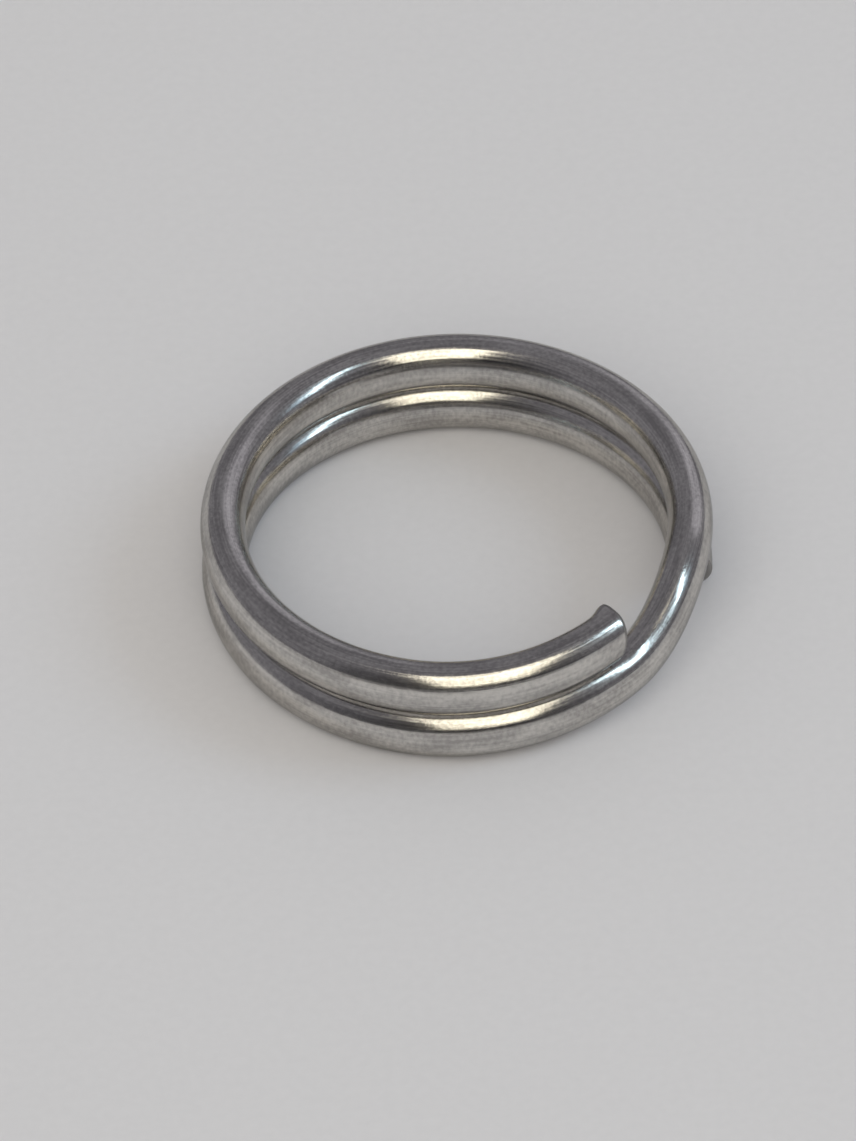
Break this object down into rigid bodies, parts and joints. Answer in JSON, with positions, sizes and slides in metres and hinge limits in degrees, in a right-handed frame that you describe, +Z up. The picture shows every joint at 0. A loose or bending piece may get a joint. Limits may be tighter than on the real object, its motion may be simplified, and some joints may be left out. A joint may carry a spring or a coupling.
{
  "type": "split key ring",
  "caption": "Small round split key ring: bright spring wire wound into two stacked coils, with an S-shaped crossing between them and a free end to pry open.",
  "frame": {"origin": "on the axis of the ring, at the surface that the lower coil lies on", "axes": "+Z up along the axis of the ring, +X to the right and +Y to the back, with the crossing at the front right"},
  "size_m": [0.015, 0.015, 0.0039],
  "materials": {
    "plated_wire": "bright nickel-plated drawn steel wire"
  },
  "bodies": {
    "middle": {"crossover": "plated_wire", "upper_coil_right": "plated_wire", "upper_coil_back": "plated_wire", "lower_coil_front_right": "plated_wire", "lower_coil_front_left": "plated_wire"},
    "upper_free_half": {"upper_coil_left": "plated_wire", "upper_coil_front": "plated_wire", "upper_coil_tip": "plated_wire"},
    "lower_free_half": {"lower_coil_back_left": "plated_wire", "lower_coil_back_right": "plated_wire", "lower_coil_tip": "plated_wire"}
  },
  "joints": [
    {"name": "upper_opening", "type": "hinge", "parent": "middle", "child": "upper_free_half", "pos_m": [-0.00449, 0.00516, 0.00258], "axis": [-0.7547, -0.6561, 0], "range_deg": [0, 9], "stiffness_Nm_per_rad": 1.92},
    {"name": "lower_opening", "type": "hinge", "parent": "middle", "child": "lower_free_half", "pos_m": [-0.00682, 0.00048, 0.00085], "axis": [0.0698, 0.9976, 0], "range_deg": [0, 9], "stiffness_Nm_per_rad": 1.92}
  ]
}
